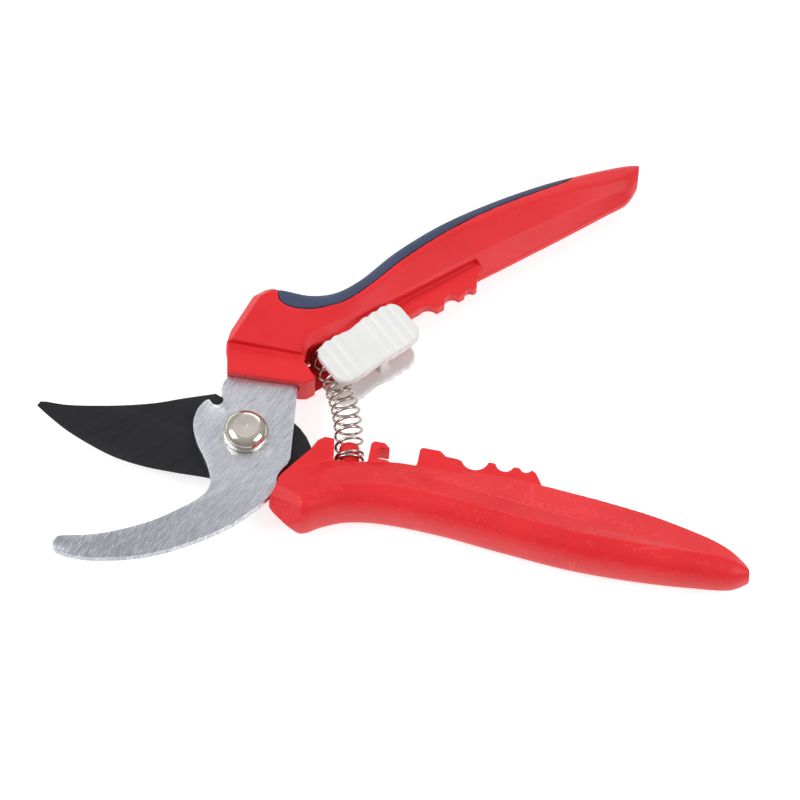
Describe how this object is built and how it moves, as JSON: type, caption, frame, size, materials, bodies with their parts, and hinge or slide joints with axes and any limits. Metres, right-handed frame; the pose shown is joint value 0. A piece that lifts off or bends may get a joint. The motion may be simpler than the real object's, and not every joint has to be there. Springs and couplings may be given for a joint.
{
  "type": "bypass pruner",
  "caption": "Hand pruner with a hooked counter blade, a curved cutting blade, two moulded grips, a return spring and a sliding lock.",
  "frame": {"origin": "centre of the flat on the pivot bolt's head, on the pivot axis", "axes": "+X from the pivot towards the handle ends, along the closed tool's centre line; +Z along the pivot axis, out of the bolt head; +Y towards the handle that holds the counter blade"},
  "size_m": [0.2135, 0.1541, 0.0171],
  "materials": {
    "brushed_blade": "coarse diagonal brushing",
    "coated_blade": "matt non-stick coating",
    "nickel": "bright nickel plating",
    "zinc": "bright zinc plating",
    "grip_plastic": "moulded with a fine grain",
    "soft_insert": "soft matt moulding",
    "spring_wire": "bright drawn wire",
    "lock_plastic": "satin moulding"
  },
  "bodies": {
    "upper_half": {"counter_blade": "brushed_blade", "pivot_bolt": "nickel", "pivot_washer": "zinc", "pivot_nut": "zinc", "upper_handle": "grip_plastic", "upper_grip_insert": "soft_insert", "return_spring": "spring_wire"},
    "lower_half": {"cutting_blade": "coated_blade", "lower_handle": "grip_plastic"},
    "lock": {"lock_latch": "lock_plastic"}
  },
  "joints": [
    {"name": "blade_pivot", "type": "hinge", "parent": "upper_half", "child": "lower_half", "pos_m": [0, 0, -0.007], "axis": [0, 0, 1], "range_deg": [0, 43.4], "stiffness_Nm_per_rad": 0.7, "springref_deg": -14.32, "deforming": ["return_spring"]},
    {"name": "lock_slide", "type": "slide", "parent": "upper_half", "child": "lock", "axis": [-0.9969, -0.0785, 0], "range_m": [0, 0.0075]}
  ]
}
